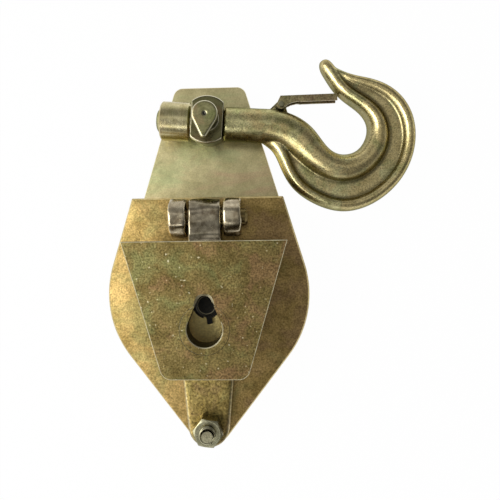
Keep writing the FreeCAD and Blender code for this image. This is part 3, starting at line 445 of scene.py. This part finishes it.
ring_black = blackened("black_oxide_ring")
axle_black = blackened("black_oxide_axle", rim=5.4)
print("black oxide:", ring_black.name, axle_black.name)

# %% [markdown]
# ## A finish for every node
#
# Each CAD node takes its finish in its own material slot. The record names the
# slot that a node belongs to, and a few nodes of one slot get a variant of it:
# the same zinc looks different on rolled plate and on hot-rolled bar.

# %% Hand out the finishes
by_slot = {
    "zinc_plate": cheek_zinc,
    "zinc_pale": sheet_zinc,
    "zinc_forged": bar_zinc,
    "zinc_turned": hub_zinc,
    "zinc_bright": bolt_zinc,
    "black_spring": ring_black,
    "bronze": bronze,
    "sheave_steel": hub_zinc,
}
by_node = {
    "door_plate": door_zinc,
    "door_bush": door_zinc,
    "front_strap": bar_zinc,
    "rear_strap": bar_zinc,
    "latch": latch_zinc,
    "crosshead": block_zinc,
    "shank_collar": collar_zinc,
    "shank_washer": collar_zinc,
    "hinge_pin": pin_zinc,
    "axle": axle_black,
}
for entry in frame["record"]["subparts"]:
    material = by_node.get(entry["node"], by_slot[entry["material_slot"]])
    nodes[entry["node"]].data.materials.clear()
    nodes[entry["node"]].data.materials.append(material)

# %% [markdown]
# ## The forged hook
#
# A hook is hammered hot between two dies. Its ribs and its web run into each
# other in soft hollows, because steel doesn't fill a sharp die corner. The
# CAD hook has the right ribs and web, but they meet in sharp creases.
#
# The soft skin could be sculpted by hand. It is quicker to copy the CAD
# mesh, merge its loose triangles, cover it with even voxels, and smooth them:
# creases melt into hollows, and wide shapes stay as they were.

# %% Copy, remesh and smooth the hook
def only(piece):
    """Selects one object and nothing else, and makes it active."""
    bpy.ops.object.select_all(action="DESELECT")
    piece.select_set(True)
    bpy.context.view_layer.objects.active = piece


def copy_of(node, name):
    """A copy of a CAD node's mesh, its loose triangles merged into one skin."""
    piece = bpy.data.objects.new(name, nodes[node].data.copy())
    bpy.context.scene.collection.objects.link(piece)
    piece.data.materials.clear()
    only(piece)
    bpy.ops.object.mode_set(mode="EDIT")
    bpy.ops.mesh.select_all(action="SELECT")
    bpy.ops.mesh.remove_doubles(threshold=0.002 * MM)
    bpy.ops.mesh.normals_make_consistent(inside=False)
    bpy.ops.mesh.customdata_custom_splitnormals_clear()
    bpy.ops.object.mode_set(mode="OBJECT")
    return piece


def apply(piece, kind, **settings):
    """Adds a modifier, sets it and applies it."""
    only(piece)
    bpy.ops.object.modifier_add(type=kind)
    modifier = piece.modifiers[-1]
    for name, value in settings.items():
        setattr(modifier, name, value)
    bpy.ops.object.modifier_apply(modifier=modifier.name)


def softened(node, name, voxel, rounds):
    """A copy of a CAD node under a skin of even voxels, in millimetres, smoothed in rounds."""
    piece = copy_of(node, name)
    apply(piece, "REMESH", mode="VOXEL", voxel_size=voxel * MM)
    apply(piece, "SMOOTH", factor=0.5, iterations=rounds)
    bpy.ops.object.shade_smooth()
    return piece


hook = softened("hook", "forged_hook", voxel=0.75, rounds=9)
print(hook.name, "has", len(hook.data.vertices), "points")

# %% [markdown]
# ## Painted shade in the hook's hollows
#
# The hollows beside the ribs are painted darker, as painted shade. It could be
# painted by hand, but vertex paint can find them by itself: it colours each point
# of the skin by how deep it lies between its neighbours, and keeps that as an
# attribute, which the material reads.

# %% Find the hollows
bpy.ops.geometry.color_attribute_add(name="relief", domain="POINT", data_type="FLOAT_COLOR",
                                     color=(1, 1, 1, 1))
bpy.ops.object.mode_set(mode="VERTEX_PAINT")
bpy.ops.paint.vertex_color_dirt(blur_strength=1, blur_iterations=4,
                                clean_angle=math.radians(180), dirt_angle=0)
bpy.ops.object.mode_set(mode="OBJECT")
relief = sorted(c.color[0] for c in hook.data.color_attributes["relief"].data)
print("relief of the deepest, the middle and the highest point:",
      [round(relief[int(len(relief) * share)], 3) for share in (0, 0.5, 0.999)])

# %% Finish the hook
# Forging scale leaves small pebbles. Its ridges shine, its sloping sides and its hollows
# are painted darker as painted shade, and it is painted a little lighter towards the
# right as painted light.
forged_zinc = passivated("chromated_forged_steel", "#d8d09a", "#a8a26c", green="#b2ba78",
                         pink="#dcc088", tint=0.5, cloud=9, grain=1.0, speckle=0.35,
                         pebble=0.07, wave=0.10, rough=0.3, edge_wear_and_highlight=0.0, flank_shade_colour="#7c7c66",
                         flank_shade=0.7, hollow_shade=0.6, edge_tint="#b4b4a2", side_shade=-0.1)


def stand_in(piece, material, body, node):
    """Gives a piece its material, and puts it on its body in place of a CAD node."""
    piece.data.materials.clear()
    piece.data.materials.append(material)
    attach(piece, body)
    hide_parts(node)
    print(piece.name, len(piece.data.polygons), "faces")


stand_in(hook, forged_zinc, "hook", "hook")

# %% [markdown]
# ## The flame-cut hinge lugs
#
# The three lugs of the hinge are cut from thick plate with a flame. Its drag
# lines run straight across the cut, and the cut face ripples by some tenths of
# a millimetre. The zinc lies thin there and looks silvery brown.
#
# A bump alone would leave the lugs' outline ruler-straight. So the lugs are
# copied and remeshed, and a Displace modifier pushes their skin in and out by
# a pattern stretched across the cut.

# %% Ripple the lugs
# A flame melts the cut smooth, so it is glossier than plate. The door's lug gets a
# darker, browner copy of the finish, as painted shade.
CUT = {"tint": 0.2, "along": (0.3, 1, 1), "speckle": 0.08, "pebble": 0.01, "wave": 0.3,
       "rough": 0.24, "edge_axis": 0, "edge_wear_and_highlight": 0.2, "coat": 0.5}
flame = passivated("chromated_flame_cut_edge", "#d2c5a7", "#8f8065", green="#a2a080",
                   pink="#ae9885", cloud=7, **CUT)
shaded_flame = passivated("chromated_flame_cut_shaded_door_lug", "#aba088", "#6d6149",
                          green="#8d8c6c", pink="#998472", cloud=6, **CUT)
drag = bpy.data.textures.new("drag_lines", "CLOUDS")
drag.noise_scale = 6 * MM
drag.noise_depth = 0
stretch = bpy.data.objects.new("drag_direction", None)
stretch.scale = (2, 1, 1)
bpy.context.scene.collection.objects.link(stretch)
for node, body, skin in (("hinge_lug_left", "frame", flame),
                         ("hinge_lug_right", "frame", flame),
                         ("door_lug", "door", shaded_flame)):
    lug = softened(node, "flame_cut_" + node, voxel=0.45, rounds=30)
    apply(lug, "DISPLACE", texture=drag, texture_coords="OBJECT",
          texture_coords_object=stretch, strength=1.1 * MM, mid_level=0.6)
    stand_in(lug, skin, body, node)
bpy.data.objects.remove(stretch)

# %% [markdown]
# ## The rolled strap
#
# The strap in front is a length of hot-rolled bar, with the soft edges that
# the rolls leave. They catch the window as a broad pale band on the left.
# Voxels and smoothing round them off, as on the hook.

# %% Round the strap
strap = softened("front_strap", "rolled_front_strap", voxel=0.6, rounds=60)
stand_in(strap, bar_zinc, "frame", "front_strap")

# %% [markdown]
# ## The tumbled crosshead
#
# The crosshead is turned, milled flat on two sides, and tumbled with stones,
# which takes its sharp edges off. Its locking head and its flats shine along
# those edges. A bevel on a mesh with so many thin triangles folds over itself,
# so the edges are worn off by fine voxels and a little smoothing instead.

# %% Round the crosshead
block = softened("crosshead", "tumbled_crosshead", voxel=0.4, rounds=6)
stand_in(block, block_zinc, "crosshead", "crosshead")

# %% [markdown]
# ## The nut
#
# The nut of the bottom bolt was tightened until its flats stood skew to the
# strap. It could be modelled again, but only its angle is wrong, so a copy of
# the CAD nut is turned about the bolt. With no window open, the rotate operator
# turns the other way, so the angle is negative.
#
# This piece and the next four are copies with some of their points picked by
# place, and then turned, moved or bevelled.

# %% Turn the nut
def pick(piece, test):
    """Selects the points of a piece whose place, in millimetres, passes a test."""
    bpy.ops.object.mode_set(mode="OBJECT")
    only(piece)
    bpy.ops.object.mode_set(mode="EDIT")
    bpy.ops.mesh.select_all(action="DESELECT")
    bpy.ops.object.mode_set(mode="OBJECT")
    for point in piece.data.vertices:
        point.select = test(point.co / MM)
    bpy.ops.object.mode_set(mode="EDIT")
    # Passes the choice on from the points to the edges and faces between them
    bpy.ops.mesh.select_mode(type="VERT")


def finish(piece, material, body, node, angle=30):
    """Ends the edit, shades the piece up to an angle, and puts it in place of its node."""
    bpy.ops.object.mode_set(mode="OBJECT")
    only(piece)
    bpy.ops.object.shade_smooth_by_angle(angle=math.radians(angle))
    stand_in(piece, material, body, node)


NUT_TURN = math.radians(-16.5)
nut = copy_of("bottom_nut", "hexagon_nut")
pick(nut, lambda place: True)
bpy.ops.transform.rotate(value=NUT_TURN, orient_axis="Z",
                         center_override=(0, BOLT_Y * MM, 0))
finish(nut, bolt_zinc, "frame", "bottom_nut")

# %% [markdown]
# ## The latch
#
# The latch is pressed from sheet. Its sides are folded down from its back, and
# towards the beak they hang lower than on the CAD latch. A sculpting brush
# would dent them. Here the points on their lower edge are moved down in five
# rounds, each of which starts further from the pin than the one before, so the
# edge comes down in small even steps.

# %% Deepen the latch
TURN = math.radians(SHANK_TURN)
PIN_ALONG, PIN_UP = 48.6, 14.6                # the pin, from the crosshead's axis
BACK_UP, BACK_RISE, BACK_DEEP = 5.8, 0.0924, 2  # the latch's back, over the pin
# How far past the pin each round starts, and how far down it moves the edge
ROUNDS = ((5, 0.3), (7, 0.3), (9, 0.3), (11, 0.3), (13, 0.5))


def below_back(place, start):
    """True past a distance from the latch's pin, on the lower edge of its sides."""
    along = place.x * math.cos(TURN) - (place.y - SWIVEL_Y) * math.sin(TURN) - PIN_ALONG
    up = place.x * math.sin(TURN) + (place.y - SWIVEL_Y) * math.cos(TURN) - PIN_UP
    return along > start and up < BACK_UP + BACK_RISE * along - BACK_DEEP


latch = copy_of("latch", "pressed_latch")
for start, depth in ROUNDS:
    pick(latch, lambda place: below_back(place, start))
    bpy.ops.transform.translate(
        value=(-depth * math.sin(TURN) * MM, -depth * math.cos(TURN) * MM, 0))
finish(latch, latch_zinc, "latch", "latch")

# %% [markdown]
# ## The keyhole's bush
#
# The keyhole goes through a thick bush that is let into the door. Its rims are
# broken, so that they neither cut a hand nor catch the crosshead's head. The
# Bevel operator cuts a chamfer along edges, and here both rims are picked by
# their height and by how far they are from the bush's middle.

# %% Break the bush's rims
DOOR_FACE = 77.9         # just under the face that looks up
BUSH_Y, KEYHOLE_OUT, SEAT_IN = -11.4, 14, 14.5


def from_bush(place):
    """The distance from the bush's axis."""
    return math.hypot(place.x, place.y - BUSH_Y)


bush = copy_of("door_bush", "keyhole_bush")
pick(bush, lambda place: place.z > DOOR_FACE and from_bush(place) < KEYHOLE_OUT)
bpy.ops.mesh.bevel(offset=0.5 * MM, segments=1)
pick(bush, lambda place: place.z > DOOR_FACE and from_bush(place) > SEAT_IN)
bpy.ops.mesh.bevel(offset=0.25 * MM, segments=1)
finish(bush, door_zinc, "door", "door_bush")

# %% [markdown]
# ## The front cheek's chamfer
#
# The front cheek is chamfered about a millimetre wide all round, and the CAD
# cheek has less than half of that. A bevel would cut a second chamfer into the
# first one. So the two outlines of the chamfer are moved: the upper one is
# scaled inwards and the lower one sinks. The holes for axle and bolt stay.

# %% Widen the cheek's chamfer
UPPER, LOWER = (48.5, 49), (48.1, 48.3)      # heights between which each outline lies
AXLE_CLEAR, BOLT_CLEAR = 20, 7               # radii about the holes that stay
cheek = copy_of("front_cheek", "cheek_with_broken_edges")
for low, high in (UPPER, LOWER):
    pick(cheek, lambda place: low < place.z < high
         and math.hypot(place.x, place.y) > AXLE_CLEAR
         and math.hypot(place.x, place.y - BOLT_Y) > BOLT_CLEAR)
    if (low, high) == UPPER:
        bpy.ops.transform.resize(value=(0.9905, 0.992, 1), center_override=(0, -10 * MM, 0))
    else:
        bpy.ops.transform.translate(value=(0, 0, -0.6 * MM))
finish(cheek, cheek_zinc, "frame", "front_cheek")

# %% [markdown]
# ## The keyhole's narrow end
#
# The narrow end of the keyhole lies beyond the bush, in the door plate itself.
# It slopes there, so that the pointed head of the crosshead finds its way in. A
# wide bevel along the rim makes the slope, and then the whole end is moved
# inwards a little.

# %% Break the keyhole's narrow end
HALF_END = 6             # of the narrow end's width, with room to spare
door = copy_of("door_plate", "door_with_broken_edges")
pick(door, lambda place: place.z > DOOR_FACE and 1 < place.y < 9.5
     and abs(place.x) < HALF_END)
bpy.ops.mesh.bevel(offset=1.4 * MM, segments=1)
pick(door, lambda place: 5 < place.y < 11.5 and abs(place.x) < HALF_END)
bpy.ops.transform.translate(value=(0, -0.8 * MM, 0))
finish(door, door_zinc, "door", "door_plate")

# %% [markdown]
# ## The thread of the bottom bolt
#
# An M10 bolt has a ridge that climbs 1.5 mm on each turn. The CAD bolt is a
# plain cylinder, to keep it light. Rings would look alike from afar, but a real
# thread climbs, so one tooth is drawn as a V and a Screw modifier sweeps it
# round and up. A cut at each end closes the sweep, and a cone takes off
# the corner where a real bolt is pointed to find its nut. The part of the bolt
# below the thread is the CAD bolt again, cut off inside the nut.

# %% Sweep the tooth
PITCH = 1.5 * MM
RADIUS, TOOTH = 5 * MM, 0.92 * MM
TURNS, START = 12, 57 * MM
bpy.ops.object.select_all(action="DESELECT")
bpy.ops.mesh.primitive_plane_add(size=MM)
bolt = bpy.context.object
bolt.name = "threaded_bolt"
bpy.ops.object.mode_set(mode="EDIT")
bpy.ops.mesh.select_all(action="SELECT")
bpy.ops.mesh.merge(type="CENTER")
bpy.ops.transform.translate(value=(RADIUS, 0, 0))
for inwards in (-TOOTH, TOOTH):
    bpy.ops.mesh.extrude_region_move(
        TRANSFORM_OT_translate={"value": (inwards, 0, PITCH / 2)})
bpy.ops.object.mode_set(mode="OBJECT")
apply(bolt, "SCREW", axis="Z", angle=math.tau, screw_offset=PITCH, iterations=TURNS,
      steps=40, render_steps=40, use_merge_vertices=True, merge_threshold=0.01 * MM)
print(bolt.name, "climbs", round(TURNS * PITCH, 4), "m in", TURNS, "turns")

# %% Cut, point and join the bolt
FOOT, TOP = 60 * MM, 71.6 * MM               # the thread's ends, the lower one in the nut
CONE, CONE_FOOT = 17 * MM, 58.1 * MM
bpy.ops.object.mode_set(mode="EDIT")
bpy.ops.mesh.select_all(action="SELECT")
bpy.ops.transform.translate(value=(0, BOLT_Y * MM, START))
bpy.ops.mesh.bisect(plane_co=(0, 0, FOOT), plane_no=(0, 0, 1), use_fill=True,
                    clear_inner=True)
bpy.ops.mesh.select_all(action="SELECT")
bpy.ops.mesh.bisect(plane_co=(0, 0, TOP), plane_no=(0, 0, 1), use_fill=True,
                    clear_outer=True)
bpy.ops.mesh.select_all(action="SELECT")
bpy.ops.mesh.normals_make_consistent(inside=False)
bpy.ops.object.mode_set(mode="OBJECT")
bpy.ops.object.select_all(action="DESELECT")
bpy.ops.mesh.primitive_cone_add(vertices=64, radius1=CONE, radius2=0, depth=CONE,
                                location=(0, BOLT_Y * MM, CONE_FOOT + CONE / 2))
cone = bpy.context.object
apply(bolt, "BOOLEAN", operation="INTERSECT", object=cone, solver="EXACT")
bpy.data.objects.remove(cone)
shank = copy_of("bottom_bolt", "bolt_shank")
bpy.ops.object.mode_set(mode="EDIT")
bpy.ops.mesh.select_all(action="SELECT")
bpy.ops.mesh.bisect(plane_co=(0, 0, FOOT), plane_no=(0, 0, 1), use_fill=True,
                    clear_outer=True)
bpy.ops.object.mode_set(mode="OBJECT")
bolt.select_set(True)
bpy.context.view_layer.objects.active = bolt
bpy.ops.object.join()
finish(bolt, bolt_zinc, "frame", "bottom_bolt", angle=35)
print("its top is at", round(max(v.co.z for v in bolt.data.vertices), 4), "m")

# %% [markdown]
# ## Floor and light
#
# The block was shot on a white table beside a big window on its left, in a room
# that is dim overhead. The floor is pale, and where the camera or a shiny
# surface looks at it, it is mostly plain white, so that only a faint shadow stays.
#
# The zinc shows what it reflects. The world is white near the horizon and dim
# above, and soft lamps stand on the left: the left of each plate shines, and its
# right side stays dark.

# %% Floor
PLAIN_WHITE = 0.985      # the share of plain white, and the rest takes the shadow
bpy.ops.object.select_all(action="DESELECT")
bpy.ops.mesh.primitive_plane_add(size=6, location=(0, 0, -0.1 * MM))
floor = bpy.context.object
floor.name = "floor"
# A table painted white and matt: it takes a soft shadow, and shows no pattern of its own
table, tree, coords = blank("white_table")
path = add(tree, "LightPath")
looked_at = path.outputs["Is Camera Ray"]
for ray in ("Is Glossy Ray", "Is Transmission Ray"):
    looked_at = add(tree, "Math", {"Value": looked_at, "Value2": path.outputs[ray]},
                    operation="MAXIMUM")
shown = add(tree, "Math", {"Value": looked_at, "Value2": PLAIN_WHITE}, operation="MULTIPLY")
white = add(tree, "Emission", {"Color": "#ffffff", "Strength": 1.0})
paint = add(tree, "BsdfDiffuse", {"Color": "#f2f2f0"})
surface = add(tree, "MixShader", {"Fac": shown, "Shader": paint, "Shader2": white})
add(tree, "OutputMaterial", {"Surface": surface})
floor.data.materials.append(table)
print("floor:", floor.name, "in", table.name)

# %% World
world = bpy.data.worlds.new("studio")
bpy.context.scene.world = world
world.use_nodes = True
tree = world.node_tree
tree.nodes.clear()
looking = add(tree, "SeparateXYZ", {"Vector": add(tree, "TexCoord").outputs["Generated"]})
# White near the horizon, dim above
room = add(tree, "MapRange", {"Value": looking.outputs["Z"], "From Min": 0.1,
                              "From Max": 0.5, "To Min": 0.9, "To Max": 0.3})
# A lighter stretch of wall beyond the crosshead
near_wall = add(tree, "MapRange", {"Value": looking.outputs["Y"], "From Min": 0.0,
                                   "From Max": 0.15, "To Max": 0.43})
far_wall = add(tree, "MapRange", {"Value": looking.outputs["Y"], "From Min": 0.4,
                                  "From Max": 0.25})
wall = add(tree, "Math", {"Value": near_wall, "Value2": far_wall}, operation="MULTIPLY")
room = add(tree, "Math", {"Value": room, "Value2": wall}, operation="ADD")
# Darker to the right, away from the window
right_side = add(tree, "MapRange", {"Value": looking.outputs["X"], "From Min": -0.05,
                                    "From Max": 0.45, "To Min": 1.0, "To Max": 0.4})
room = add(tree, "Math", {"Value": room, "Value2": right_side}, operation="MULTIPLY")
# Plain white where the camera looks past the floor
path = add(tree, "LightPath")
strength = add(tree, "Mix", {"Factor": path.outputs["Is Camera Ray"], "A": room, "B": 1.0},
               data_type="FLOAT")
light = add(tree, "Background", {"Color": "#ffffff", "Strength": strength})
add(tree, "OutputWorld", {"Surface": light})
print("world:", world.name, "with", len(tree.nodes), "nodes")

# %% Lamps
AIM = Vector((0, 0.04, 0.03))


def lamp(name, place, width, height, power):
    """A soft rectangular lamp at a place, aimed at the block."""
    data = bpy.data.lights.new(name, "AREA")
    data.shape = "RECTANGLE"
    data.size = width
    data.size_y = height
    data.energy = power
    light = bpy.data.objects.new(name, data)
    light.location = place
    light.rotation_euler = (AIM - Vector(place)).to_track_quat("-Z", "Y").to_euler()
    bpy.context.scene.collection.objects.link(light)


lamp("window", (-0.75, -0.1, 0.75), 1.3, 0.8, 7.5)
lamp("window_core", (-0.60, -0.03, 0.80), 0.5, 0.25, 2.4)
lamp("lower_window", (-0.24, -0.55, 0.8), 0.4, 0.15, 0.3)

# %% [markdown]
# ## Camera
#
# The picture's own perspective fixes the camera: 347 mm above the table,
# a little to the right of the sheave, turned by about two degrees at most.
# The picture was cropped off centre, and a small shift does the same here.

# %% Camera
PICTURE = 500                                # pixels along each side
FOCAL = 466.906                              # in pixels of the picture
CENTRE_X, CENTRE_Y = 230.66, 211.84          # the pixel that the lens looks at
SENSOR = 36                                  # in millimetres
camera_data = bpy.data.cameras.new("camera")
camera_data.sensor_width = SENSOR
camera_data.lens = FOCAL / PICTURE * SENSOR
camera_data.shift_x = (PICTURE / 2 - CENTRE_X) / PICTURE
camera_data.shift_y = -(PICTURE / 2 - CENTRE_Y) / PICTURE
camera_data.clip_start = 0.01
camera_data.clip_end = 20
camera = bpy.data.objects.new("camera", camera_data)
# Place and angles come from the picture's perspective
camera.location = (0.0262544, 0.0498608, 0.3471273)
camera.rotation_euler = [math.radians(v) for v in (1.316956, 2.167157, -0.866285)]
bpy.context.scene.collection.objects.link(camera)
bpy.context.scene.camera = camera
bpy.context.scene.view_settings.view_transform = "Standard"
print("lens", round(camera_data.lens, 2), "mm")
